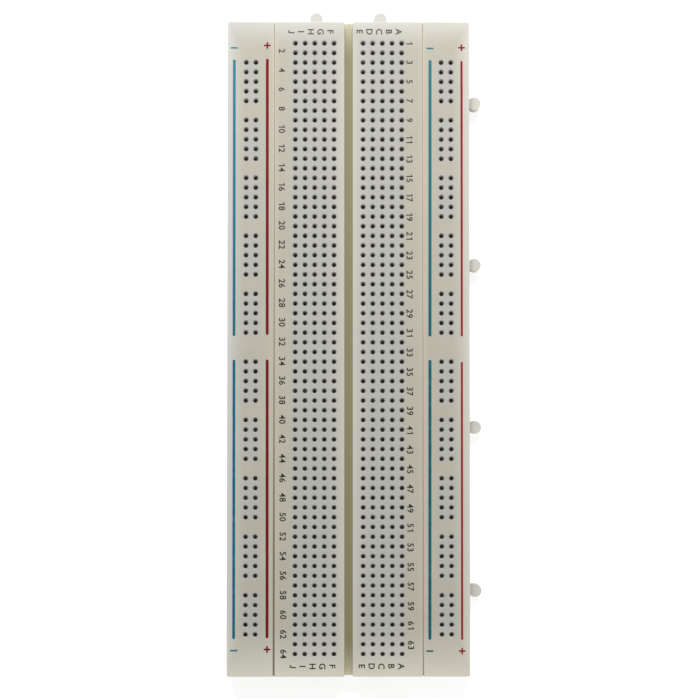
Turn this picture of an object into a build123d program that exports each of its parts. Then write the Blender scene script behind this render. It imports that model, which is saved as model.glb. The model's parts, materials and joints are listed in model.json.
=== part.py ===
from build123d import *
import os

# Solderless breadboard with 840 tie points: a terminal strip of 64 rows between two power rails.
# Millimetres. X runs across the board, Y along it with row 1 at the +Y end, and Z up.
# The origin is on the surface that the board lies on, under the middle of the terminal strip.

# ---- grid of tie points ----
pitch = 2.54
row_count = 64
contacts_per_clip = 5
first_column_x = 3.81
tie_point_diameter = 1.1
countersink_diameter = 1.6
rail_column_offset = pitch / 2
rail_group_starts = (3, 9, 15, 21, 27, 34, 40, 46, 52, 58)
holes_per_rail_group = 5
groups_per_bus_clip = 5

# ---- strips ----
strip_length = 171.5
terminal_strip_width = 38.9
rail_width = 12.25
housing_height = 8.5
seam_gap = 0.05
corner_radius = 0.35
top_edge_radius = 0.15
top_plate_thickness = 1.7
channel_width = 2.2
channel_depth = 2.6

# ---- interlocking tabs and their slots ----
tab_head_diameter = 3.4
tab_head_offset = 1.6
tab_neck_width = 2.1
tab_height = 4.0
tab_root = 0.5
slot_clearance = 0.1
side_tab_pitch = 42.9
side_tab_shift = 0.5
side_tab_count = 4
end_tab_pitch = 17.0
end_tab_count = 2

# ---- backing ----
liner_thickness = 0.12
tape_thickness = 1.0
tape_inset = 0.5
tape_notch_margin = 0.3

# ---- spring clips ----
cell_width = 1.95
cell_end_margin = 0.15
clip_thickness = 0.2
clip_height = 6.4
clip_half_width = 0.72
leaf_bend_height = 2.4
pinch_height = 4.7
pinch_gap = 0.06
mouth_half_width = 0.68
leaf_length = 2.1
leaf_root_height = 1.0
clips_per_node = 8

# ---- worked out from the above ----
tape_z = liner_thickness
housing_z = tape_z + tape_thickness
rail_x = terminal_strip_width / 2 + seam_gap + rail_width / 2
clip_centre_x = first_column_x + 2 * pitch
cut_margin = 1.0

on_its_base = (Align.CENTER, Align.CENTER, Align.MIN)


def row_y(row):
    """Y of a row of tie points, counted from 1 at the +Y end."""
    return ((row_count + 1) / 2 - row) * pitch


def spread(count, step):
    """Positions of count things, step apart and centred on zero."""
    return [(i - (count - 1) / 2) * step for i in range(count)]


def rows_of_groups(starts):
    """The rows that groups of rail holes take up."""
    return [start + i for start in starts for i in range(holes_per_rail_group)]


# The rows of each half of a rail: its bus clips are broken in the middle of the board.
upper_rows = rows_of_groups(rail_group_starts[:groups_per_bus_clip])
lower_rows = rows_of_groups(rail_group_starts[groups_per_bus_clip:])
terminal_columns = [
    side * (first_column_x + i * pitch) for side in (-1, 1) for i in range(contacts_per_clip)
]
# Where the side tabs are along Y: a little nearer to row 1 than the grid of tie points is.
side_tab_places = [y + side_tab_shift for y in spread(side_tab_count, side_tab_pitch)]


# ---- moulded housings ----

def strip_block(width):
    """A strip's outside: a bar with rounded upright corners and softened top edges."""
    block = Box(width, strip_length, housing_height, align=on_its_base)
    block = fillet(block.edges().filter_by(Axis.Z), corner_radius)
    return fillet(block.faces().sort_by(Axis.Z)[-1].edges(), top_edge_radius)


def tie_point_tool():
    """What one tie point removes from the top plate: a round hole with a countersunk mouth."""
    hole_radius = tie_point_diameter / 2
    mouth_radius = countersink_diameter / 2
    mouth_depth = mouth_radius - hole_radius
    profile = Polyline(
        (0, -cut_margin),
        (hole_radius, -cut_margin),
        (hole_radius, top_plate_thickness - mouth_depth),
        (mouth_radius, top_plate_thickness),
        (mouth_radius, top_plate_thickness + cut_margin),
        (0, top_plate_thickness + cut_margin),
        close=True,
    )
    return revolve(Plane.XZ * make_face(profile), Axis.Z)


def tie_points(positions):
    """Cutting tools for the tie points at the given (x, y) places."""
    tool = tie_point_tool()
    floor = housing_height - top_plate_thickness
    return [Pos(x, y, floor) * tool for x, y in positions]


def clip_cell(length_x, length_y):
    """The pocket for one spring clip, open at the back of the housing."""
    height = housing_height - top_plate_thickness + cut_margin
    return Pos(0, 0, -cut_margin) * Box(length_x, length_y, height, align=on_its_base)


def key_outline(clearance):
    """A tab from above: a round head on a narrower neck, pointing along +X from the edge at x = 0."""
    head = Pos(tab_head_offset, 0) * Circle(tab_head_diameter / 2 + clearance)
    neck_length = tab_root + tab_head_offset
    neck = Pos(neck_length / 2 - tab_root, 0) * Rectangle(neck_length, tab_neck_width + 2 * clearance)
    return head + neck


def side_tabs(right_edge):
    """Four tabs that stand out of a strip's +X side."""
    tab = extrude(key_outline(0), tab_height)
    return [Pos(right_edge, y, 0) * tab for y in side_tab_places]


def slot_tool():
    """What one slot removes: a tab with room round it, from below the housing to just over the tab's top."""
    height = cut_margin + tab_height + 2 * slot_clearance
    return Pos(0, 0, -cut_margin) * extrude(key_outline(slot_clearance), height)


def side_slots(left_edge):
    """Slots in a strip's -X side, for the tabs of the strip beside it."""
    slot = slot_tool()
    return [Pos(left_edge - seam_gap, y, 0) * slot for y in side_tab_places]


def end_tabs():
    """Two tabs that stand out of the terminal strip's +Y end."""
    turned = Rot(0, 0, 90) * extrude(key_outline(0), tab_height)
    return [Pos(x, strip_length / 2, 0) * turned for x in spread(end_tab_count, end_tab_pitch)]


def end_slots():
    """Slots in the terminal strip's -Y end, for the end tabs of another board."""
    turned = Rot(0, 0, 90) * slot_tool()
    return [Pos(x, -strip_length / 2 - seam_gap, 0) * turned for x in spread(end_tab_count, end_tab_pitch)]


def terminal_housing():
    """The middle strip: 128 clip cells, 640 tie points and the channel that chips straddle."""
    half_width = terminal_strip_width / 2
    body = strip_block(terminal_strip_width) + side_tabs(half_width) + end_tabs()
    body -= side_slots(-half_width) + end_slots()
    body -= Pos(0, 0, housing_height - channel_depth) * Box(
        channel_width, strip_length + 2 * cut_margin, channel_depth + cut_margin, align=on_its_base
    )
    cell = clip_cell((contacts_per_clip - 1) * pitch + leaf_length + 2 * cell_end_margin, cell_width)
    rows = range(1, row_count + 1)
    body -= [Pos(side * clip_centre_x, row_y(row), 0) * cell for row in rows for side in (-1, 1)]
    body -= tie_points([(x, row_y(row)) for row in rows for x in terminal_columns])
    return body


def bus_span(rows):
    """Centre and length along Y of the contacts in the given rows."""
    top = row_y(rows[0])
    bottom = row_y(rows[-1])
    return (top + bottom) / 2, top - bottom + leaf_length


def rail_housing():
    """A power rail's housing, centred on x = 0: two rows of tie points over four long clip cells."""
    half_width = rail_width / 2
    body = strip_block(rail_width) + side_tabs(half_width)
    body -= side_slots(-half_width)
    columns = (-rail_column_offset, rail_column_offset)
    for rows in (upper_rows, lower_rows):
        centre_y, length = bus_span(rows)
        cell = clip_cell(cell_width, length + 2 * cell_end_margin)
        body -= [Pos(x, centre_y, 0) * cell for x in columns]
        body -= tie_points([(x, row_y(row)) for row in rows for x in columns])
    return body


# ---- spring clips ----

def clip_section():
    """Section of the folded strip: a flat base, two legs that lean in to pinch a wire, and flared lips."""
    half_sheet = clip_thickness / 2
    pinch_half_width = pinch_gap / 2 + half_sheet
    right_leg = [
        (clip_half_width, half_sheet),
        (clip_half_width, leaf_bend_height),
        (pinch_half_width, pinch_height),
        (mouth_half_width, clip_height - half_sheet),
    ]
    left_leg = [(-x, z) for x, z in reversed(right_leg)]
    centre_line = Polyline(*left_leg, *right_leg)
    outline = offset(centre_line, half_sheet, kind=Kind.INTERSECTION, side=Side.BOTH)
    return make_face(outline)


def spring_clip(contacts):
    """A clip along X with a pair of leaves at each contact position, standing on z = 0."""
    length = contacts[-1] - contacts[0] + leaf_length
    middle = (contacts[0] + contacts[-1]) / 2
    clip = Pos(middle, 0, 0) * extrude(Plane.YZ * clip_section(), length / 2, both=True)
    slits = []
    for left, right in zip(contacts, contacts[1:]):
        slit_length = right - left - leaf_length
        slit = Box(slit_length, 2 * cell_width, clip_height + cut_margin, align=on_its_base)
        slits.append(Pos((left + right) / 2, 0, leaf_root_height) * slit)
    return clip - slits


def terminal_clip_groups():
    """The five-contact clips of the terminal strip, in named groups of neighbouring rows."""
    clip = spring_clip(spread(contacts_per_clip, pitch))
    groups = {}
    for side_name, side in (("left", -1), ("right", 1)):
        for first in range(1, row_count + 1, clips_per_node):
            last = first + clips_per_node - 1
            places = [Pos(side * clip_centre_x, row_y(row), housing_z) for row in range(first, last + 1)]
            name = f"clips_{side_name}_rows_{first:02d}_{last:02d}"
            groups[name] = Compound([place * clip for place in places])
    return groups


def bus_clips():
    """The long bus clips: a blue and a red one in each half of each rail."""
    clips = {}
    for half_name, rows in (("upper", upper_rows), ("lower", lower_rows)):
        centre_y = bus_span(rows)[0]
        contacts = sorted(row_y(row) - centre_y for row in rows)
        clip = Rot(0, 0, 90) * spring_clip(contacts)
        for side_name, side in (("left", -1), ("right", 1)):
            for colour, offset_x in (("blue", -rail_column_offset), ("red", rail_column_offset)):
                place = Pos(side * rail_x + offset_x, centre_y, housing_z)
                clips[f"bus_clip_{side_name}_{colour}_{half_name}"] = place * clip
    return clips


# ---- backing ----

def backing_sheet(width, thickness, has_end_slots):
    """A strip's foam tape or its liner: a sheet inset from the strip, notched to leave the slots open."""
    sheet = Box(width - 2 * tape_inset, strip_length - 2 * tape_inset, thickness, align=on_its_base)
    notch_depth = seam_gap + tab_head_offset + tab_head_diameter / 2 + slot_clearance + tape_notch_margin
    notch_width = tab_head_diameter + 2 * (slot_clearance + tape_notch_margin)
    side_notch = Box(2 * notch_depth, notch_width, 4 * thickness)
    notches = [Pos(-width / 2, y, 0) * side_notch for y in side_tab_places]
    if has_end_slots:
        end_notch = Rot(0, 0, 90) * side_notch
        notches += [Pos(x, -strip_length / 2, 0) * end_notch for x in spread(end_tab_count, end_tab_pitch)]
    return sheet - notches


# ---- the whole board ----

def build_nodes():
    """Every node by name, in place."""
    rail = rail_housing()
    strips = {
        "left_rail": (-rail_x, rail_width, rail),
        "terminal_strip": (0, terminal_strip_width, terminal_housing()),
        "right_rail": (rail_x, rail_width, rail),
    }
    nodes = {}
    for name, (x, width, housing) in strips.items():
        has_end_slots = name == "terminal_strip"
        nodes[f"{name}_housing"] = Pos(x, 0, housing_z) * housing
        tape = backing_sheet(width, tape_thickness, has_end_slots)
        liner = backing_sheet(width, liner_thickness, has_end_slots)
        nodes[f"foam_tape_{name}"] = Pos(x, 0, tape_z) * tape
        nodes[f"release_liner_{name}"] = Pos(x, 0, 0) * liner
    nodes.update(terminal_clip_groups())
    nodes.update(bus_clips())
    return nodes


os.makedirs("parts", exist_ok=True)
for node_name, shape in build_nodes().items():
    export_step(shape, f"parts/{node_name}.step", write_pcurves=False)
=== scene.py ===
import json
import math

import bmesh
import bpy
from mathutils import Euler, Matrix, Vector, noise


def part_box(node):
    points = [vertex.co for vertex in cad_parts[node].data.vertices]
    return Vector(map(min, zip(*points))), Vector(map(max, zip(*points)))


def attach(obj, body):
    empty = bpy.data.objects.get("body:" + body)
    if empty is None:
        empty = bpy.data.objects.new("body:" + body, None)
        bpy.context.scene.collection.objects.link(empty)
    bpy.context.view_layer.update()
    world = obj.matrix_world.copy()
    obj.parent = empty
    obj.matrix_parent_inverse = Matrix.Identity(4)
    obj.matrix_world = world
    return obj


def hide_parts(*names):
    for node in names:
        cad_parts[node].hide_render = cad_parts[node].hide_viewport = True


# A solderless breadboard: looks, printed ink, foam tape, floor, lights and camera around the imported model.
# Metres, in the model's own frame: X across the board, Y along it with row 1 at the +Y end, Z up.

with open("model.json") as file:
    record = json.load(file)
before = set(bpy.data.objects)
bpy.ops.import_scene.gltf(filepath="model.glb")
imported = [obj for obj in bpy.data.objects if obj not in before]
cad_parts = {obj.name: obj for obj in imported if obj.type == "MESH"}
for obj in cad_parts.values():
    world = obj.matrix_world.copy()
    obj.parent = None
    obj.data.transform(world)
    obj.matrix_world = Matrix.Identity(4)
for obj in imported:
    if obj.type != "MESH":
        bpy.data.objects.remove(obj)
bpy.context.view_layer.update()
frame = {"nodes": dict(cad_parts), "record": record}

MM = 0.001

# ---- the tie-point grid that the print follows ----
PITCH = 2.54 * MM
ROW_COUNT = 64
FIRST_COLUMN_X = 1.5 * PITCH
LEFT_LETTERS = "JIHGF"
RIGHT_LETTERS = "EDCBA"

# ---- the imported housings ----
TOP_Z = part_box("terminal_strip_housing")[1].z
BOARD_HALF_WIDTH = -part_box("left_rail_housing")[0].x
BOARD_HALF_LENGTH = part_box("left_rail_housing")[1].y
SEAM_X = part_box("right_rail_housing")[0].x

# ---- noise ----
# A noise texture's values are mostly in the usual range. Below, a SCALE is in features per metre, and a RANGE
# is the two values between which an effect comes in.
USUAL_NOISE = (0.3, 0.7)

# ---- housing plastic ----
PLASTIC_LIGHT = (0.330, 0.313, 0.265)
PLASTIC_DARK = (0.310, 0.296, 0.250)
PLASTIC_WARM = (0.325, 0.298, 0.234)
PLASTIC_SPECK = (0.17, 0.145, 0.10)
PLASTIC_OVER_METAL = (0.304, 0.303, 0.285)
# Painted light: paler plastic by the open edges and at the -Y end, where light comes in sideways.
PLASTIC_AT_LEFT_EDGE = (0.415, 0.420, 0.405)
PLASTIC_AT_RIGHT_EDGE = (0.445, 0.432, 0.395)
PLASTIC_AT_LOWER_END = (0.475, 0.460, 0.395)
# Painted shade in the middle channel, dark and warm on its floor, with painted light paler by its walls and
# at its open ends.
PLASTIC_CHANNEL = (0.200, 0.182, 0.097)
PLASTIC_CHANNEL_WALL = (0.275, 0.253, 0.138)
PLASTIC_CHANNEL_END = (0.435, 0.407, 0.285)
PLASTIC_CHANNEL_END_WALL = (0.500, 0.475, 0.350)
PLASTIC_BY_SEAM = (0.360, 0.330, 0.265)
# The seam's groove, painted: a pale line at the +Y end, turning to painted shade towards -Y.
PLASTIC_SEAM_PALE = (0.47, 0.43, 0.35)
PLASTIC_SEAM_SHADED = (0.165, 0.145, 0.11)
PLASTIC_ROUGHNESS = (0.44, 0.56)
PLASTIC_MOTTLE_SCALE = 130.0
PLASTIC_BLOTCH_SCALE = 38.0
PLASTIC_BLOTCH_RANGE = (0.42, 0.68)
PLASTIC_BLOTCH_STRENGTH = 0.35
PLASTIC_SPECK_SCALE = 420.0
PLASTIC_SPECK_RANGE = (0.035, 0.05)
PLASTIC_SPECK_STRENGTH = 0.45
PLASTIC_GRAIN_SCALE = 5200.0
PLASTIC_GRAIN_HEIGHT = 0.006 * MM
SCUFF_SCALE = 2600.0
SCUFF_STRETCH = (0.12, 1.0, 1.0)
SCUFF_RANGE = (0.64, 0.70)
SCUFF_POLISH = -0.12

# ---- where the plastic's colour changes ----
SIDE_LIGHT_REACH = 5.0 * MM
UPPER_END_LIGHT_REACH = 8.0 * MM
LOWER_END_LIGHT_REACH = 15.0 * MM
LOWER_END_START = 70.0 * MM
CHANNEL_EDGE_LIGHT = 0.70
EDGE_LIGHT_FALLOFF = 1.6
WALL_LIGHT = 0.2
WALL_LIGHT_DEPTH = 0.4 * MM
SIDE_TAB_LIGHT = 0.83
TAB_START = 0.1 * MM
TAB_BORDER = 0.2 * MM
CHANNEL_HALF_WIDTH = 1.12 * MM
CHANNEL_DEPTH = 2.6 * MM
CHANNEL_BORDER = 0.1 * MM
CHANNEL_WALL_START = 0.2 * MM
CHANNEL_WALL_FULL = 0.85 * MM
CHANNEL_END_START = 76.5 * MM
CHANNEL_END_FALLOFF = 1.5
# The depths over which the channel's painted shade comes in.
CHANNEL_SHADE_START = 0.3 * MM
CHANNEL_SHADE_DEPTH = 1.6 * MM
SEAM_HALF_WIDTH = 0.20 * MM
SEAM_BORDER = 0.12 * MM
SEAM_WIDENING = 0.08 * MM
SEAM_PAINT_DEPTH = 0.3 * MM
SEAM_WARMTH_REACH = 1.6 * MM
# The seams' painted shade grows from the +Y end towards -Y, and is weaker on the right.
SEAM_SHADE_START_Y = 75.0 * MM
SEAM_SHADE_FULL_Y = -55.0 * MM
SEAM_SHADE_SIDE_X = 10.0 * MM
RIGHT_SEAM_SHADE = 0.45
# The fields of tie points, where clips stand close under the top face. A rail's tie points are in groups of
# five rows, and the first group's middle is RAIL_GROUP_Y from the middle of the board.
TERMINAL_FIELD_X = FIRST_COLUMN_X + 2 * PITCH
TERMINAL_FIELD_HALF_WIDTH = 6.0 * MM
TERMINAL_FIELD_BORDER = 1.8 * MM
RAIL_FIELD_X = (SEAM_X + BOARD_HALF_WIDTH) / 2
RAIL_FIELD_HALF_WIDTH = 2.3 * MM
RAIL_FIELD_HALF_LENGTH = 5.9 * MM
RAIL_FIELD_BORDER = 1.2 * MM
RAIL_FIELDS_END_Y = 76.5 * MM
RAIL_FIELDS_END_BORDER = 0.5 * MM
RAIL_GROUP_Y = 3.5 * PITCH
RAIL_GROUP_PITCH = 6 * PITCH

# ---- clip metal ----
NICKEL = (0.74, 0.72, 0.68)
NICKEL_TARNISHED = (0.55, 0.50, 0.42)
NICKEL_ROUGHNESS = (0.40, 0.58)
NICKEL_DRAWN_SCALE = 6000.0
NICKEL_DRAWN_STRETCH = (0.06, 0.06, 1.0)
NICKEL_DRAWN_HEIGHT = 0.004 * MM
NICKEL_TARNISH_SCALE = 320.0
NICKEL_TARNISH_RANGE = (0.4, 0.7)
# A trace of glow on the clips stands for the daylight that comes through the thin housing.
DAYLIGHT_COLOUR = (1.0, 0.88, 0.60, 1.0)
DAYLIGHT_THROUGH_HOUSING = 0.007

# ---- release paper ----
PAPER_LIGHT = (0.66, 0.55, 0.36)
PAPER_DARK = (0.58, 0.47, 0.30)
PAPER_FIBRE = (0.44, 0.34, 0.20)
PAPER_ROUGHNESS = (0.34, 0.52)
PAPER_CLOUD_SCALE = 150.0
PAPER_FIBRE_SCALE = 2200.0
PAPER_FIBRE_STRETCH = (1.0, 0.15, 1.0)
PAPER_FIBRE_RANGE = (0.55, 0.75)
PAPER_FIBRE_STRENGTH = 0.5
PAPER_FIBRE_HEIGHT = 0.008 * MM

# ---- printed ink ----
# Each ink on the left half of the board and on the right half, in full and pale: pale where it's thin, and as
# painted light towards the +Y end.
INK_BLUE = ((0.006, 0.086, 0.142), (0.006, 0.066, 0.100))
INK_BLUE_PALE = ((0.030, 0.152, 0.220), (0.028, 0.130, 0.168))
INK_RED = ((0.112, 0.001, 0.005), (0.190, 0.020, 0.026))
INK_RED_PALE = ((0.150, 0.001, 0.006), (0.182, 0.004, 0.014))
INK_DARK = ((0.012, 0.011, 0.007), (0.012, 0.011, 0.007))
INK_DARK_PALE = ((0.040, 0.037, 0.026), (0.040, 0.037, 0.026))
# Painted light: the inks are painted paler towards the +Y end, where the light and its sheen fall brighter.
INK_TOP_LIGHT_START_Y = -0.1 * BOARD_HALF_LENGTH
INK_TOP_LIGHT_FULL_Y = 0.85 * BOARD_HALF_LENGTH
INK_TOP_LIGHT = 0.95
INK_PATCH_SCALE = 700.0
INK_PATCH_RANGE = (0.45, 0.75)
INK_PATCH_THINNING = 0.5
INK_GRAIN_SCALE = 9000.0
INK_SPECKLE_RANGE = (0.62, 0.72)
INK_SPECKLE_STRENGTH = 0.5
INK_GRAIN_HEIGHT = 0.003 * MM
INK_ROUGHNESS = (0.42, 0.6)
LINE_SHEEN = 0.12
FIGURE_SHEEN = 0.2
INK_SUNK = 0.004 * MM
INK_PROUD = 0.010 * MM
INK_THICKNESS = INK_SUNK + INK_PROUD
INK_BOTTOM_Z = TOP_Z - INK_SUNK
INK_TOP_Z = TOP_Z + INK_PROUD
INK_EDGE_WOBBLE = 0.018 * MM
INK_WOBBLE_SCALE = 1100.0
# How far apart in the noise two neighbouring seeds lie.
INK_WOBBLE_SPACING = 17.3
INK_STATION = 0.5 * MM
# The printed lines, in millimetres: X at the +Y and -Y ends of the rail, width, the Y of both ends of
# the upper and lower half, and the Y of the signs beyond them.
LINES = {
    ("left", "blue"): {"x": (-30.02, -29.92), "width": 0.74, "upper": (75.7, 3.0), "lower": (-3.25, -76.0)},
    ("left", "red"): {"x": (-21.35, -21.22), "width": 0.76, "upper": (75.9, 3.3), "lower": (-3.2, -75.75)},
    ("right", "blue"): {"x": (21.44, 21.20), "width": 0.81, "upper": (75.6, 2.9), "lower": (-3.3, -76.2)},
    ("right", "red"): {"x": (29.72, 29.61), "width": 0.58, "upper": (75.4, 2.9), "lower": (-3.8, -76.2)},
}
SIGN_Y = {
    ("left", "blue"): (78.8, -79.0),
    ("left", "red"): (79.45, -78.7),
    ("right", "blue"): (78.7, -79.15),
    ("right", "red"): (78.9, -79.15),
}
# A bar's ends round off over this share of its width. Each pair is how far through the corner, and how
# much of the width is left there.
BAR_CORNER = 0.35
BAR_ROUNDING = ((0.6, 0.86), (1.0, 0.5))
MINUS_LENGTH = 1.9 * MM
MINUS_WIDTH = 0.42 * MM
PLUS_LENGTH = 1.75 * MM
PLUS_WIDTH = 0.45 * MM
PLUS_BLUNTING = 0.22

# ---- letters and numbers ----
GLYPH_SIZE = 2.27 * MM
LETTER_Y = 83.1 * MM
LETTER_SPREAD = 1.011
LETTER_SHIFT_TOP = -0.93 * MM
LETTER_SHIFT_BOTTOM = -0.4 * MM
# Row numbers drift off their rows: X and the rise towards +Y, at row 1 and at row 64.
LEFT_NUMBER_X = (-17.5 * MM, -16.95 * MM)
RIGHT_NUMBER_X = (16.05 * MM, 16.32 * MM)
NUMBER_BOW = -0.16 * MM
LEFT_NUMBER_RISE = (0.36 * MM, 0.14 * MM)
RIGHT_NUMBER_RISE = (0.10 * MM, -0.18 * MM)
SINGLE_DIGIT_RISE = 0.2 * MM
DIGIT_ADVANCE = 1.24 * MM
GLYPH_CURVE_STEPS = 5
GLYPH_EXTRA_STROKE = 0.042 * MM
GLYPH_HEIGHT = 1.68 * MM
STEM_WIDTH = 0.30 * MM
FLAG_REACH = 0.42 * MM
FLAG_BEND_Y = 0.87 * GLYPH_HEIGHT
FLAG_TIP_Y = (0.82 * GLYPH_HEIGHT, 0.70 * GLYPH_HEIGHT)
FLAG_ROOT_Y = 0.76 * GLYPH_HEIGHT
HOOK_RADIUS = 0.42 * MM
HOOK_STEPS = 8

# ---- foam tape ----
FOAM_LIGHT = (0.80, 0.80, 0.77)
FOAM_DARK = (0.70, 0.70, 0.66)
# Painted shade in the open pores.
FOAM_PORE_SHADE = (0.38, 0.37, 0.34)
FOAM_ROUGHNESS = (0.82, 0.98)
FOAM_CLOUD_SCALE = 600.0
FOAM_PORE_SCALE = 5200.0
FOAM_PORE_RANGE = (0.05, 0.35)
FOAM_PORE_STRENGTH = 0.65
FOAM_PORE_HEIGHT = 0.10 * MM
FOAM_BULGE = 0.12 * MM
FOAM_UNEVENNESS = 0.05 * MM
FOAM_UNEVENNESS_SCALE = 900.0
FOAM_GRID = 1.7 * MM
FOAM_LAYERS = 4
FLAT_ANGLE = math.radians(1)
SAME_PLACE = 1e-7

# ---- floor and lights ----
WHITE = (1.0, 1.0, 1.0, 1.0)
FLOOR_DARK = (0.78, 0.78, 0.78)
FLOOR_LIGHT = (0.82, 0.82, 0.82)
FLOOR_CLOUD_SCALE = 3.0
FLOOR_ROUGHNESS = 0.9
FLOOR_HALF_SIZE = 4.0
FLOOR_SEGMENTS = 8
FLOOR_Z = -0.02 * MM
FLOOR_GLOW = 0.5
KEY_PLACE = (-0.02, 0.45, 0.50)
KEY_SIZE = 0.30
KEY_POWER = 5.7
KEY_COLOUR = (1.0, 0.99, 0.96)
FILL_PLACE = (0.45, -0.35, 0.60)
FILL_SIZE = 0.60
FILL_POWER = 1.7
FILL_COLOUR = (0.97, 0.99, 1.0)
ROOM_STRENGTH = 0.42

# ---- camera ----
CAMERA_PLACE = Vector((-2.24, -16.05, 500.0)) * MM
CAMERA_TILT = Euler((math.radians(1.795), math.radians(-0.307), 0.0))
CAMERA_LENS = 96.4
SENSOR_WIDTH = 36.0
NEAREST_VISIBLE = 0.01


# ---- node helpers ----

def new_material(name):
    """A material with an empty tree apart from its Principled shader."""
    material = bpy.data.materials.new(name)
    material.use_nodes = True
    return material, material.node_tree, material.node_tree.nodes["Principled BSDF"]


def object_coordinates(tree, stretch=(1, 1, 1)):
    """Object coordinates in metres, stretched along each axis."""
    source = tree.nodes.new("ShaderNodeTexCoord")
    mapping = tree.nodes.new("ShaderNodeMapping")
    mapping.inputs["Scale"].default_value = stretch
    tree.links.new(source.outputs["Object"], mapping.inputs["Vector"])
    return mapping.outputs["Vector"]


def noise_value(tree, coordinates, scale, detail=3.0, roughness=0.5):
    """A noise texture's value, with features about 1 / scale metres across."""
    texture = tree.nodes.new("ShaderNodeTexNoise")
    texture.inputs["Scale"].default_value = scale
    texture.inputs["Detail"].default_value = detail
    texture.inputs["Roughness"].default_value = roughness
    tree.links.new(coordinates, texture.inputs["Vector"])
    return texture.outputs["Fac"]


def cell_value(tree, coordinates, scale):
    """Distance to the nearest of many scattered points, for pores and specks."""
    texture = tree.nodes.new("ShaderNodeTexVoronoi")
    texture.inputs["Scale"].default_value = scale
    tree.links.new(coordinates, texture.inputs["Vector"])
    return texture.outputs["Distance"]


def remap(tree, value, from_low, from_high, to_low, to_high):
    """value carried from one range to another, and held inside it."""
    node = tree.nodes.new("ShaderNodeMapRange")
    names = ("From Min", "From Max", "To Min", "To Max")
    for name, number in zip(names, (from_low, from_high, to_low, to_high)):
        node.inputs[name].default_value = number
    tree.links.new(value, node.inputs["Value"])
    return node.outputs["Result"]


def spread_noise(tree, noise_socket, low, high):
    """A noise value's usual range carried to the range from low to high."""
    return remap(tree, noise_socket, *USUAL_NOISE, low, high)


def calculate(tree, operation, first, second):
    """A math node on two sockets, or a socket and a number."""
    node = tree.nodes.new("ShaderNodeMath")
    node.operation = operation
    for socket, value in zip(node.inputs, (first, second)):
        if isinstance(value, (int, float)):
            socket.default_value = value
        else:
            tree.links.new(value, socket)
    return node.outputs["Value"]


def mix_colours(tree, factor, first, second):
    """The first colour where factor is 0 and the second where it is 1."""
    node = tree.nodes.new("ShaderNodeMix")
    node.data_type = "RGBA"
    tree.links.new(factor, node.inputs["Factor"])
    for name, colour in (("A", first), ("B", second)):
        socket = next(s for s in node.inputs if s.name == name and s.type == "RGBA")
        if isinstance(colour, tuple):
            socket.default_value = (*colour, 1.0)
        else:
            tree.links.new(colour, socket)
    return next(s for s in node.outputs if s.type == "RGBA")


def add_bump(tree, shader, height, distance):
    """Bumps of the given height in metres."""
    node = tree.nodes.new("ShaderNodeBump")
    node.inputs["Distance"].default_value = distance
    tree.links.new(height, node.inputs["Height"])
    tree.links.new(node.outputs["Normal"], shader.inputs["Normal"])


def axis_values(tree):
    """The point's X, Y and Z in metres."""
    source = tree.nodes.new("ShaderNodeTexCoord")
    split = tree.nodes.new("ShaderNodeSeparateXYZ")
    tree.links.new(source.outputs["Object"], split.inputs["Vector"])
    return split.outputs["X"], split.outputs["Y"], split.outputs["Z"]


def size_of(tree, value):
    """A value without its sign."""
    return calculate(tree, "ABSOLUTE", value, 0.0)


def distance_from(tree, value, centre):
    """How far a value is from a number."""
    return size_of(tree, calculate(tree, "SUBTRACT", value, centre))


def fade_out(tree, distance, reach, softness):
    """1 within the reach and 0 beyond it, with a soft edge."""
    return remap(tree, distance, reach - softness / 2, reach + softness / 2, 1.0, 0.0)


def over_the_springs(tree):
    """1 on the thin skin above the spring clips, where the metal below greys the plastic, and 0 elsewhere."""
    x, y, _ = axis_values(tree)
    from_middle_x = size_of(tree, x)
    from_middle_y = size_of(tree, y)
    from_terminal_field = distance_from(tree, from_middle_x, TERMINAL_FIELD_X)
    terminal_x = fade_out(tree, from_terminal_field, TERMINAL_FIELD_HALF_WIDTH, TERMINAL_FIELD_BORDER)
    terminal_y = fade_out(tree, from_middle_y, ROW_COUNT / 2 * PITCH, TERMINAL_FIELD_BORDER)
    past_first_group = calculate(tree, "SUBTRACT", from_middle_y, RAIL_GROUP_Y)
    from_group = calculate(tree, "PINGPONG", past_first_group, RAIL_GROUP_PITCH / 2)
    from_rail_field = distance_from(tree, from_middle_x, RAIL_FIELD_X)
    rail_x = fade_out(tree, from_rail_field, RAIL_FIELD_HALF_WIDTH, RAIL_FIELD_BORDER)
    rail_y = fade_out(tree, from_group, RAIL_FIELD_HALF_LENGTH, RAIL_FIELD_BORDER)
    rail_end = fade_out(tree, from_middle_y, RAIL_FIELDS_END_Y, RAIL_FIELDS_END_BORDER)
    rail = calculate(tree, "MULTIPLY", calculate(tree, "MULTIPLY", rail_x, rail_y), rail_end)
    return calculate(tree, "MAXIMUM", calculate(tree, "MULTIPLY", terminal_x, terminal_y), rail)


def above_walls(tree):
    """How much of the painted edge light a point gets: 1 on the top face and on the end tabs, a little less
    on the side tabs, and much less down the walls.
    """
    x, y, z = axis_values(tree)
    side_tab_x = BOARD_HALF_WIDTH + TAB_START
    end_tab_y = BOARD_HALF_LENGTH + TAB_START
    on_side_tab = remap(tree, x, side_tab_x, side_tab_x + TAB_BORDER, 0.0, SIDE_TAB_LIGHT)
    on_end_tab = remap(tree, y, end_tab_y, end_tab_y + TAB_BORDER, 0.0, 1.0)
    down_wall = remap(tree, z, TOP_Z - WALL_LIGHT_DEPTH, TOP_Z, WALL_LIGHT, 1.0)
    return calculate(tree, "MAXIMUM", calculate(tree, "MAXIMUM", on_side_tab, on_end_tab), down_wall)


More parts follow.
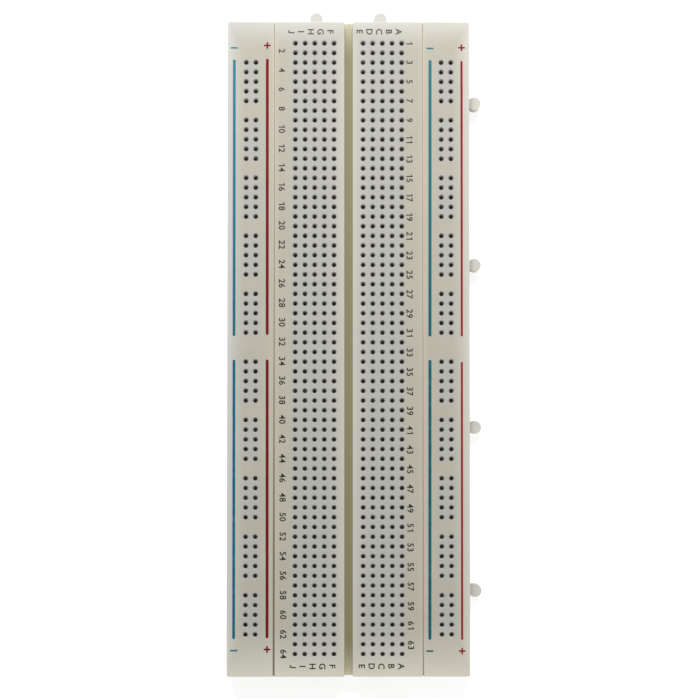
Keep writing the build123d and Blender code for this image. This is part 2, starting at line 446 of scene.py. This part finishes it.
def near_free_edge(tree):
    """1 at the board's open edges, where light comes in sideways, fading to 0 further in."""
    x, y, _ = axis_values(tree)
    from_middle_x = size_of(tree, x)
    from_side = calculate(tree, "SUBTRACT", BOARD_HALF_WIDTH, from_middle_x)
    from_channel = calculate(tree, "SUBTRACT", from_middle_x, CHANNEL_HALF_WIDTH)
    from_end = calculate(tree, "SUBTRACT", BOARD_HALF_LENGTH, size_of(tree, y))
    side = remap(tree, from_side, 0.0, SIDE_LIGHT_REACH, 1.0, 0.0)
    end_reach = remap(tree, y, -MM, MM, LOWER_END_LIGHT_REACH, UPPER_END_LIGHT_REACH)
    end = remap(tree, calculate(tree, "DIVIDE", from_end, end_reach), 0.0, 1.0, 1.0, 0.0)
    channel = remap(tree, from_channel, 0.0, SIDE_LIGHT_REACH, CHANNEL_EDGE_LIGHT, 0.0)
    outer = calculate(tree, "MAXIMUM", side, end)
    light = calculate(tree, "POWER", calculate(tree, "MAXIMUM", outer, channel), EDGE_LIGHT_FALLOFF)
    return calculate(tree, "MULTIPLY", light, above_walls(tree))


def edge_colour(tree):
    """Painted light by the open edges: paler plastic, cooler on the left, warmer on the right and at the -Y
    end.
    """
    x, y, _ = axis_values(tree)
    left_to_right = remap(tree, x, -BOARD_HALF_WIDTH, BOARD_HALF_WIDTH, 0.0, 1.0)
    lower_end = remap(tree, y, -LOWER_END_START, -BOARD_HALF_LENGTH, 0.0, 1.0)
    by_side = mix_colours(tree, left_to_right, PLASTIC_AT_LEFT_EDGE, PLASTIC_AT_RIGHT_EDGE)
    return mix_colours(tree, lower_end, by_side, PLASTIC_AT_LOWER_END)


def inside_channel(tree):
    """How much of the channel's painted shade a point gets: 1 deep in the middle channel, and 0 elsewhere."""
    x, _, z = axis_values(tree)
    across = fade_out(tree, size_of(tree, x), CHANNEL_HALF_WIDTH, CHANNEL_BORDER)
    depth = remap(tree, z, TOP_Z - CHANNEL_SHADE_DEPTH, TOP_Z - CHANNEL_SHADE_START, 1.0, 0.0)
    floor_z = TOP_Z - CHANNEL_DEPTH
    above_floor = remap(tree, z, floor_z - CHANNEL_BORDER, floor_z, 0.0, 1.0)
    return calculate(tree, "MULTIPLY", calculate(tree, "MULTIPLY", across, depth), above_floor)


def channel_colour(tree):
    """Painted shade on the channel's floor, dark and warm, with painted light making it paler by its walls
    and towards its open ends.
    """
    x, y, _ = axis_values(tree)
    by_wall = remap(tree, size_of(tree, x), CHANNEL_WALL_START, CHANNEL_WALL_FULL, 0.0, 1.0)
    near_end = remap(tree, size_of(tree, y), CHANNEL_END_START, BOARD_HALF_LENGTH, 0.0, 1.0)
    end_light = calculate(tree, "POWER", near_end, CHANNEL_END_FALLOFF)
    middle = mix_colours(tree, end_light, PLASTIC_CHANNEL, PLASTIC_CHANNEL_END)
    side = mix_colours(tree, end_light, PLASTIC_CHANNEL_WALL, PLASTIC_CHANNEL_END_WALL)
    return mix_colours(tree, by_wall, middle, side)


def seam_wear(tree):
    """How much painted shade a seam's groove gets: none at the +Y end, more towards -Y, and most on the left.
    """
    x, y, _ = axis_values(tree)
    along = remap(tree, y, SEAM_SHADE_START_Y, SEAM_SHADE_FULL_Y, 0.0, 1.0)
    side = remap(tree, x, -SEAM_SHADE_SIDE_X, SEAM_SHADE_SIDE_X, 1.0, RIGHT_SEAM_SHADE)
    return calculate(tree, "MULTIPLY", along, side)


def near_top(tree, z):
    """1 on the top face and just below it, and 0 deeper down."""
    return remap(tree, z, TOP_Z - 2 * SEAM_PAINT_DEPTH, TOP_Z - SEAM_PAINT_DEPTH, 0.0, 1.0)


def in_seam(tree, seam_shading):
    """1 at the top of the grooves where strips meet, a little wider where their painted shade is heavier, and
    0 elsewhere.
    """
    x, _, z = axis_values(tree)
    from_seam = distance_from(tree, size_of(tree, x), SEAM_X)
    widening = calculate(tree, "MULTIPLY", seam_shading, SEAM_WIDENING)
    from_groove = calculate(tree, "SUBTRACT", from_seam, widening)
    across = fade_out(tree, from_groove, SEAM_HALF_WIDTH, SEAM_BORDER)
    return calculate(tree, "MULTIPLY", across, near_top(tree, z))


def beside_seam(tree):
    """1 on the top face next to a seam, fading to 0 further off."""
    x, _, z = axis_values(tree)
    from_seam = distance_from(tree, size_of(tree, x), SEAM_X)
    across = remap(tree, from_seam, 0.0, SEAM_WARMTH_REACH, 1.0, 0.0)
    return calculate(tree, "MULTIPLY", across, near_top(tree, z))


# ---- materials ----

def moulded_plastic():
    """Warm white ABS with a fine moulded grain, faint mottling, specks and hairline scuffs, and painted light
    and shade by its edges, in its channel and in its seams.
    """
    material, tree, shader = new_material("housing_plastic")
    plain = object_coordinates(tree)
    mottle = noise_value(tree, plain, PLASTIC_MOTTLE_SCALE, detail=4.0)
    grain = noise_value(tree, plain, PLASTIC_GRAIN_SCALE, detail=2.0)
    blotches = noise_value(tree, plain, PLASTIC_BLOTCH_SCALE, detail=2.0)

    clean = mix_colours(tree, spread_noise(tree, mottle, 0.0, 1.0), PLASTIC_DARK, PLASTIC_LIGHT)
    warmth = remap(tree, blotches, *PLASTIC_BLOTCH_RANGE, 0.0, PLASTIC_BLOTCH_STRENGTH)
    warmed = mix_colours(tree, warmth, clean, PLASTIC_WARM)
    from_speck = cell_value(tree, plain, PLASTIC_SPECK_SCALE)
    specks = remap(tree, from_speck, *PLASTIC_SPECK_RANGE, PLASTIC_SPECK_STRENGTH, 0.0)
    specked = mix_colours(tree, specks, warmed, PLASTIC_SPECK)
    cooled = mix_colours(tree, over_the_springs(tree), specked, PLASTIC_OVER_METAL)
    warm_by_seam = mix_colours(tree, beside_seam(tree), cooled, PLASTIC_BY_SEAM)
    # Painted light by the open edges.
    edge_lit = mix_colours(tree, near_free_edge(tree), warm_by_seam, edge_colour(tree))
    # Painted shade in the middle channel.
    channel_shaded = mix_colours(tree, inside_channel(tree), edge_lit, channel_colour(tree))
    # Painted shade in the seams, growing towards -Y and most on the left, with a pale line at the +Y end.
    seam_shading = seam_wear(tree)
    seam_colour = mix_colours(tree, seam_shading, PLASTIC_SEAM_PALE, PLASTIC_SEAM_SHADED)
    grooved = mix_colours(tree, in_seam(tree, seam_shading), channel_shaded, seam_colour)
    tree.links.new(grooved, shader.inputs["Base Color"])

    scuffs = noise_value(tree, object_coordinates(tree, SCUFF_STRETCH), SCUFF_SCALE, detail=1.0)
    scuffed = remap(tree, scuffs, *SCUFF_RANGE, 0.0, SCUFF_POLISH)
    satin = spread_noise(tree, mottle, *PLASTIC_ROUGHNESS)
    tree.links.new(calculate(tree, "ADD", satin, scuffed), shader.inputs["Roughness"])
    add_bump(tree, shader, grain, PLASTIC_GRAIN_HEIGHT)
    return material


def nickel_plate():
    """Bright nickel on spring metal, drawn along the sheet, with a little tarnish."""
    material, tree, shader = new_material("clip_metal")
    shader.inputs["Metallic"].default_value = 1.0
    stretched = object_coordinates(tree, NICKEL_DRAWN_STRETCH)
    drawn = noise_value(tree, stretched, NICKEL_DRAWN_SCALE, detail=2.0)
    tarnish = noise_value(tree, object_coordinates(tree), NICKEL_TARNISH_SCALE)
    dulled = remap(tree, tarnish, *NICKEL_TARNISH_RANGE, 0.0, 1.0)
    tree.links.new(mix_colours(tree, dulled, NICKEL, NICKEL_TARNISHED), shader.inputs["Base Color"])
    tree.links.new(spread_noise(tree, drawn, *NICKEL_ROUGHNESS), shader.inputs["Roughness"])
    add_bump(tree, shader, drawn, NICKEL_DRAWN_HEIGHT)
    shader.inputs["Emission Color"].default_value = DAYLIGHT_COLOUR
    shader.inputs["Emission Strength"].default_value = DAYLIGHT_THROUGH_HOUSING
    return material


def closed_cell_foam():
    """White polyethylene foam with open pores where it was cut, with painted shade in the pores."""
    material, tree, shader = new_material("foam_tape")
    plain = object_coordinates(tree)
    pores = cell_value(tree, plain, FOAM_PORE_SCALE)
    cloud = noise_value(tree, plain, FOAM_CLOUD_SCALE)
    fresh = mix_colours(tree, spread_noise(tree, cloud, 0.0, 1.0), FOAM_LIGHT, FOAM_DARK)
    # Painted shade in the pores.
    pore_shade = remap(tree, pores, *FOAM_PORE_RANGE, FOAM_PORE_STRENGTH, 0.0)
    pore_shaded = mix_colours(tree, pore_shade, fresh, FOAM_PORE_SHADE)
    tree.links.new(pore_shaded, shader.inputs["Base Color"])
    tree.links.new(spread_noise(tree, cloud, *FOAM_ROUGHNESS), shader.inputs["Roughness"])
    add_bump(tree, shader, pores, FOAM_PORE_HEIGHT)
    return material


def release_paper():
    """Buff silicone-coated paper with short fibres."""
    material, tree, shader = new_material("release_liner")
    stretched = object_coordinates(tree, PAPER_FIBRE_STRETCH)
    fibres = noise_value(tree, stretched, PAPER_FIBRE_SCALE, detail=4.0, roughness=0.7)
    cloud = noise_value(tree, object_coordinates(tree), PAPER_CLOUD_SCALE)
    sheet = mix_colours(tree, spread_noise(tree, cloud, 0.0, 1.0), PAPER_LIGHT, PAPER_DARK)
    on_fibre = remap(tree, fibres, *PAPER_FIBRE_RANGE, 0.0, PAPER_FIBRE_STRENGTH)
    fibrous = mix_colours(tree, on_fibre, sheet, PAPER_FIBRE)
    tree.links.new(fibrous, shader.inputs["Base Color"])
    tree.links.new(spread_noise(tree, fibres, *PAPER_ROUGHNESS), shader.inputs["Roughness"])
    add_bump(tree, shader, fibres, PAPER_FIBRE_HEIGHT)
    return material


def printed_ink(name, colours, pale_colours, sheen):
    """Pad-printed ink: thinner in patches, slightly grainy, with a satin skin, and painted paler towards the
    +Y end as painted light.
    """
    material, tree, shader = new_material(name)
    plain = object_coordinates(tree)
    patches = noise_value(tree, plain, INK_PATCH_SCALE)
    grain = noise_value(tree, plain, INK_GRAIN_SCALE, detail=2.0)
    x, y, _ = axis_values(tree)
    on_right = remap(tree, x, -MM, MM, 0.0, 1.0)
    full_colour = mix_colours(tree, on_right, *colours)
    pale_colour = mix_colours(tree, on_right, *pale_colours)
    # Painted light: paler towards the +Y end.
    lit_towards_top = remap(tree, y, INK_TOP_LIGHT_START_Y, INK_TOP_LIGHT_FULL_Y, 0.0, INK_TOP_LIGHT)
    patchy = remap(tree, patches, *INK_PATCH_RANGE, 0.0, INK_PATCH_THINNING)
    # Paler where the ink is thin in patches, and as painted light towards the +Y end.
    thin = calculate(tree, "MAXIMUM", patchy, lit_towards_top)
    even = mix_colours(tree, thin, full_colour, pale_colour)
    speckles = remap(tree, grain, *INK_SPECKLE_RANGE, 0.0, INK_SPECKLE_STRENGTH)
    speckled = mix_colours(tree, speckles, even, pale_colour)
    tree.links.new(speckled, shader.inputs["Base Color"])
    tree.links.new(spread_noise(tree, patches, *INK_ROUGHNESS), shader.inputs["Roughness"])
    shader.inputs["Specular IOR Level"].default_value = sheen
    add_bump(tree, shader, grain, INK_GRAIN_HEIGHT)
    return material


def floor_surface():
    """A white studio sweep."""
    material, tree, shader = new_material("studio_floor")
    cloud = noise_value(tree, object_coordinates(tree), FLOOR_CLOUD_SCALE, detail=2.0)
    tree.links.new(mix_colours(tree, cloud, FLOOR_DARK, FLOOR_LIGHT), shader.inputs["Base Color"])
    shader.inputs["Roughness"].default_value = FLOOR_ROUGHNESS
    shader.inputs["Emission Color"].default_value = WHITE
    shader.inputs["Emission Strength"].default_value = FLOOR_GLOW
    return material


MATERIALS = {
    "housing_plastic": moulded_plastic(),
    "clip_metal": nickel_plate(),
    "foam_tape": closed_cell_foam(),
    "release_liner": release_paper(),
    "ink_blue": printed_ink("ink_blue", INK_BLUE, INK_BLUE_PALE, LINE_SHEEN),
    "ink_red": printed_ink("ink_red", INK_RED, INK_RED_PALE, LINE_SHEEN),
    "ink_dark": printed_ink("ink_dark", INK_DARK, INK_DARK_PALE, FIGURE_SHEEN),
}


def dress_cad_nodes():
    """Gives every CAD node the material of its slot."""
    for part in frame["record"]["subparts"]:
        node = frame["nodes"][part["node"]]
        node.data.materials.clear()
        node.data.materials.append(MATERIALS[part["material_slot"]])


# ---- mesh helpers ----

def piece_from(mesh_data, name, slot_name, body):
    """A named piece on a body, with the material of its slot."""
    mesh = bpy.data.meshes.new(name)
    mesh_data.normal_update()
    mesh_data.to_mesh(mesh)
    mesh_data.free()
    piece = bpy.data.objects.new(name, mesh)
    bpy.context.scene.collection.objects.link(piece)
    mesh.materials.append(MATERIALS[slot_name])
    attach(piece, body)
    return piece


def wobble(place, seed):
    """A smooth unevenness from -1 to 1 along a printed edge, the same each run."""
    return noise.noise(Vector((place * INK_WOBBLE_SCALE, seed * INK_WOBBLE_SPACING, 0.5)))


def edge_seed(centre, side):
    """A number that differs from bar to bar and between a bar's two edges."""
    return 1000 * (side + 10 * centre.x + 7 * centre.y)


def bar_stations(length, width):
    """Places along a printed bar, and how much of its width it has there: its ends are blunt and rounded."""
    corner = width * BAR_CORNER
    straight = length / 2 - corner
    count = max(1, round(2 * straight / INK_STATION))
    middle = [(straight * (2 * i / count - 1), 1.0) for i in range(count + 1)]
    end = [(straight + corner * through, part) for through, part in BAR_ROUNDING]
    return [(-place, part) for place, part in reversed(end)] + middle + end


def add_solid(shape, rings):
    """Adds a closed solid through rings of vertices: walls between each ring and the next, and two ends."""
    for first, second in zip(rings, rings[1:]):
        count = len(first)
        for k in range(count):
            following = (k + 1) % count
            shape.faces.new((first[k], first[following], second[following], second[k]))
    shape.faces.new(reversed(rings[0]))
    shape.faces.new(rings[-1])


def add_prism(shape, outline, low, high):
    """Adds an upright prism on a counter-clockwise outline."""
    add_solid(shape, [[shape.verts.new((x, y, z)) for x, y in outline] for z in (low, high)])


def ink_bar(shape, start, end, width):
    """Adds a printed bar with slightly uneven edges, as a row of four-cornered rings."""
    centre = (start + end) / 2
    along = (end - start).normalized()
    across = Vector((-along.y, along.x, 0.0))
    corners = ((-1, INK_BOTTOM_Z), (1, INK_BOTTOM_Z), (1, INK_TOP_Z), (-1, INK_TOP_Z))
    rings = []
    for place, part in bar_stations((end - start).length, width):
        ring = []
        for side, z in corners:
            half = part * (width / 2 + INK_EDGE_WOBBLE * wobble(place, edge_seed(centre, side)))
            point = centre + along * place + across * side * half
            ring.append(shape.verts.new((point.x, point.y, z)))
        rings.append(ring)
    add_solid(shape, rings)


def ink_plus(shape, centre, length, width):
    """Adds a printed plus sign: one outline with blunt, slightly rounded arms."""
    arm = length / 2
    half = width / 2
    blunt = width * PLUS_BLUNTING
    right_arm = [
        (half, -half), (arm - blunt, -half), (arm, blunt - half), (arm, half - blunt), (arm - blunt, half)
    ]
    outline = []
    for turn in range(4):
        turned = Matrix.Rotation(turn * math.pi / 2, 2)
        outline += [centre.xy + turned @ Vector(corner) for corner in right_arm]
    add_prism(shape, outline, INK_BOTTOM_Z, INK_TOP_Z)


def figure_one():
    """A figure 1 with a plain stem and a short flag, as an outline in the reading plane."""
    upper_tip_y, lower_tip_y = FLAG_TIP_Y
    return [
        (0, 0),
        (STEM_WIDTH, 0),
        (STEM_WIDTH, GLYPH_HEIGHT),
        (0.3 * STEM_WIDTH, GLYPH_HEIGHT),
        (-0.3 * FLAG_REACH, FLAG_BEND_Y),
        (-FLAG_REACH, upper_tip_y),
        (-FLAG_REACH, lower_tip_y),
        (0, FLAG_ROOT_Y),
    ]


def letter_j():
    """A letter J whose hook stays on the line, as an outline in the reading plane."""
    inner_radius = HOOK_RADIUS - STEM_WIDTH
    turns = [math.pi * i / HOOK_STEPS for i in range(HOOK_STEPS + 1)]
    inner = [(inner_radius * math.cos(-turn), HOOK_RADIUS + inner_radius * math.sin(-turn)) for turn in turns]
    outer = [(HOOK_RADIUS * math.cos(-turn), HOOK_RADIUS + HOOK_RADIUS * math.sin(-turn)) for turn in turns]
    return [(inner_radius, GLYPH_HEIGHT), *inner, *reversed(outer), (HOOK_RADIUS, GLYPH_HEIGHT)]


DRAWN_GLYPHS = {"1": figure_one, "J": letter_j}
# A figure 9 is a 6 turned upside down.
TURNED_GLYPHS = {"9": "6"}


def drawn_mesh(outline):
    """A raised glyph on an outline of its own."""
    shape = bmesh.new()
    add_prism(shape, outline, -INK_THICKNESS / 2, INK_THICKNESS / 2)
    mesh = bpy.data.meshes.new("glyph")
    shape.to_mesh(mesh)
    shape.free()
    return mesh


def typed_mesh(character):
    """A raised glyph from the plain built-in typeface, with a slightly heavier stroke."""
    curve = bpy.data.curves.new("glyph", "FONT")
    curve.body = character
    curve.size = GLYPH_SIZE
    curve.offset = GLYPH_EXTRA_STROKE
    curve.extrude = INK_THICKNESS / 2
    curve.resolution_u = GLYPH_CURVE_STEPS
    text = bpy.data.objects.new("glyph", curve)
    bpy.context.scene.collection.objects.link(text)
    bpy.context.view_layer.update()
    finished = text.evaluated_get(bpy.context.evaluated_depsgraph_get())
    mesh = bpy.data.meshes.new_from_object(finished)
    bpy.data.objects.remove(text)
    bpy.data.curves.remove(curve)
    return mesh


def glyph_mesh(character):
    """A raised letter or figure in the reading plane, centred on the origin."""
    if character in DRAWN_GLYPHS:
        mesh = drawn_mesh(DRAWN_GLYPHS[character]())
    else:
        mesh = typed_mesh(TURNED_GLYPHS.get(character, character))
    corners = [vert.co for vert in mesh.vertices]
    low = Vector(map(min, zip(*corners)))
    high = Vector(map(max, zip(*corners)))
    mesh.transform(Matrix.Translation(-(low + high) / 2))
    if character in TURNED_GLYPHS:
        mesh.transform(Matrix.Rotation(math.pi, 4, "Z"))
    return mesh


def add_glyph(shape, mesh, x, y):
    """Adds a glyph to the print, lying on the top face with its top towards +X."""
    placed = mesh.copy()
    middle = Vector((x, y, TOP_Z + (INK_PROUD - INK_SUNK) / 2))
    placed.transform(Matrix.Translation(middle) @ Matrix.Rotation(-math.pi / 2, 4, "Z"))
    shape.from_mesh(placed)
    bpy.data.meshes.remove(placed)


# ---- printed ink ----

def row_y(row):
    """Y of a row of tie points, counted from 1 at the +Y end."""
    return ((ROW_COUNT + 1) / 2 - row) * PITCH


def between(ends, part):
    """A value part of the way from the first of two ends to the second."""
    return ends[0] + (ends[1] - ends[0]) * part


def print_polarity(side, colour):
    """One rail's blue or red line, in two halves, with a minus or plus sign beyond each outer end."""
    line = LINES[side, colour]
    upper_sign, lower_sign = SIGN_Y[side, colour]
    length = line["upper"][0] - line["lower"][1]
    shape = bmesh.new()
    for half, sign_y in (("upper", upper_sign), ("lower", lower_sign)):
        ends = []
        for y in line[half]:
            part = (line["upper"][0] - y) / length
            ends.append(Vector((between(line["x"], part), y, 0)) * MM)
        ink_bar(shape, *ends, line["width"] * MM)
        outer = ends[0] if half == "upper" else ends[1]
        sign_place = Vector((outer.x, sign_y * MM, 0))
        half_minus = Vector((MINUS_LENGTH / 2, 0, 0))
        if colour == "blue":
            ink_bar(shape, sign_place - half_minus, sign_place + half_minus, MINUS_WIDTH)
        else:
            ink_plus(shape, sign_place, PLUS_LENGTH, PLUS_WIDTH)
    piece_from(shape, f"{side}_rail_{colour}_print", f"ink_{colour}", f"{side}_power_rail")


def print_letters():
    """Column letters at both ends of the terminal strip."""
    shape = bmesh.new()
    last_column_x = FIRST_COLUMN_X + (len(LEFT_LETTERS) - 1) * PITCH
    left_columns = [(letter, i * PITCH - last_column_x) for i, letter in enumerate(LEFT_LETTERS)]
    right_columns = [(letter, i * PITCH + FIRST_COLUMN_X) for i, letter in enumerate(RIGHT_LETTERS)]
    for letter, x in left_columns + right_columns:
        mesh = glyph_mesh(letter)
        add_glyph(shape, mesh, x * LETTER_SPREAD + LETTER_SHIFT_TOP, LETTER_Y)
        add_glyph(shape, mesh, x * LETTER_SPREAD + LETTER_SHIFT_BOTTOM, -LETTER_Y)
        bpy.data.meshes.remove(mesh)
    piece_from(shape, "column_letters_print", "ink_dark", "terminal_strip")


def add_number(shape, digits, number, x, y):
    """Adds a number centred on a point, reading towards -Y."""
    characters = str(number)
    for i, character in enumerate(characters):
        along = (i - (len(characters) - 1) / 2) * DIGIT_ADVANCE
        add_glyph(shape, digits[character], x, y - along)


def number_bow(part):
    """How far the row numbers bow sideways, part of the way down: most in the middle and none at the ends."""
    return 4 * part * (1 - part) * NUMBER_BOW


def print_numbers():
    """Row numbers: even ones on the left and odd ones on the right."""
    digits = {character: glyph_mesh(character) for character in "0123456789"}
    left = bmesh.new()
    right = bmesh.new()
    for row in range(1, ROW_COUNT + 1):
        part = (row - 1) / (ROW_COUNT - 1)
        if row % 2:
            x = between(RIGHT_NUMBER_X, part) + number_bow(part)
            add_number(right, digits, row, x, row_y(row) + between(RIGHT_NUMBER_RISE, part))
        else:
            x = between(LEFT_NUMBER_X, part) + number_bow(part)
            rise = between(LEFT_NUMBER_RISE, part) + (SINGLE_DIGIT_RISE if row < 10 else 0.0)
            add_number(left, digits, row, x, row_y(row) + rise)
    piece_from(left, "even_row_numbers_print", "ink_dark", "terminal_strip")
    piece_from(right, "odd_row_numbers_print", "ink_dark", "terminal_strip")
    for mesh in digits.values():
        bpy.data.meshes.remove(mesh)


# ---- foam tape ----

def cut_across(shape, axis, low, high, spacing):
    """Cuts the mesh with evenly spaced planes along one axis, between low and high."""
    count = max(1, round((high - low) / spacing))
    normal = Vector((0, 0, 0))
    normal[axis] = 1.0
    for i in range(1, count):
        place = normal * (low + (high - low) * i / count)
        everything = [*shape.verts, *shape.edges, *shape.faces]
        bmesh.ops.bisect_plane(shape, geom=everything, plane_co=place, plane_no=normal, dist=SAME_PLACE)


def is_wall(face):
    """Whether a face stands upright."""
    return abs(face.normal.z) < 0.5


def bulge_walls(shape, low_z, high_z):
    """Swells a tape's cut edges outward, most at half height, and makes them a little uneven."""
    moves = []
    for vert in shape.verts:
        walls = [face.normal for face in vert.link_faces if is_wall(face)]
        if not walls:
            continue
        outward = sum(walls, Vector((0, 0, 0)))
        outward.z = 0.0
        level = 2 * (vert.co.z - low_z) / (high_z - low_z) - 1
        swell = FOAM_BULGE * (1 - level * level)
        uneven = FOAM_UNEVENNESS * noise.noise(vert.co * FOAM_UNEVENNESS_SCALE)
        moves.append((vert, outward.normalized() * (swell + uneven)))
    for vert, move in moves:
        vert.co += move


def soft_tape(node_name, body):
    """A strip's foam tape, with cut edges that bulge a little and aren't quite straight."""
    source = frame["nodes"][node_name]
    low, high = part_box(node_name)
    shape = bmesh.new()
    shape.from_mesh(source.data)
    bmesh.ops.remove_doubles(shape, verts=shape.verts, dist=SAME_PLACE)
    bmesh.ops.dissolve_limit(shape, angle_limit=FLAT_ANGLE, verts=shape.verts, edges=shape.edges)
    cut_across(shape, 2, low.z, high.z, (high.z - low.z) / FOAM_LAYERS)
    cut_across(shape, 1, low.y, high.y, FOAM_GRID)
    cut_across(shape, 0, low.x, high.x, FOAM_GRID)
    shape.normal_update()
    bulge_walls(shape, low.z, high.z)
    for face in shape.faces:
        face.smooth = is_wall(face)
    piece = piece_from(shape, f"soft_{node_name}", "foam_tape", body)
    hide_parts(node_name)


# ---- stage ----

def add_floor():
    """A pale floor that the board lies on."""
    shape = bmesh.new()
    bmesh.ops.create_grid(
        shape, x_segments=FLOOR_SEGMENTS, y_segments=FLOOR_SEGMENTS, size=FLOOR_HALF_SIZE
    )
    mesh = bpy.data.meshes.new("studio_floor")
    shape.to_mesh(mesh)
    shape.free()
    floor = bpy.data.objects.new("studio_floor", mesh)
    bpy.context.scene.collection.objects.link(floor)
    floor.location.z = FLOOR_Z
    mesh.materials.append(floor_surface())


def add_area_light(name, place, size, power, colour):
    """A square soft box that faces the board."""
    data = bpy.data.lights.new(name, "AREA")
    data.size = size
    data.energy = power
    data.color = colour
    light = bpy.data.objects.new(name, data)
    light.location = place
    light.rotation_euler = (-Vector(place)).to_track_quat("-Z", "Y").to_euler()
    bpy.context.scene.collection.objects.link(light)


def light_the_studio():
    """A soft key beyond the board's row-1 end, a weaker fill and a white room."""
    add_area_light("key", KEY_PLACE, KEY_SIZE, KEY_POWER, KEY_COLOUR)
    add_area_light("fill", FILL_PLACE, FILL_SIZE, FILL_POWER, FILL_COLOUR)
    world = bpy.data.worlds.new("white_room")
    world.use_nodes = True
    background = world.node_tree.nodes["Background"]
    background.inputs["Color"].default_value = WHITE
    background.inputs["Strength"].default_value = ROOM_STRENGTH
    bpy.context.scene.world = world


def add_camera():
    """Nearly straight above the board, as far off as a hand-held camera with a short telephoto lens."""
    data = bpy.data.cameras.new("camera")
    data.lens = CAMERA_LENS
    data.sensor_width = SENSOR_WIDTH
    data.clip_start = NEAREST_VISIBLE
    camera = bpy.data.objects.new("camera", data)
    camera.location = CAMERA_PLACE
    camera.rotation_euler = CAMERA_TILT
    bpy.context.scene.collection.objects.link(camera)
    bpy.context.scene.camera = camera


# ---- the whole scene ----

dress_cad_nodes()
for line_side, line_colour in LINES:
    print_polarity(line_side, line_colour)
print_letters()
print_numbers()
for strip, strip_body in (
    ("left_rail", "left_power_rail"),
    ("terminal_strip", "terminal_strip"),
    ("right_rail", "right_power_rail"),
):
    soft_tape(f"foam_tape_{strip}", strip_body)
add_floor()
light_the_studio()
add_camera()
bpy.context.scene.view_settings.view_transform = "Standard"
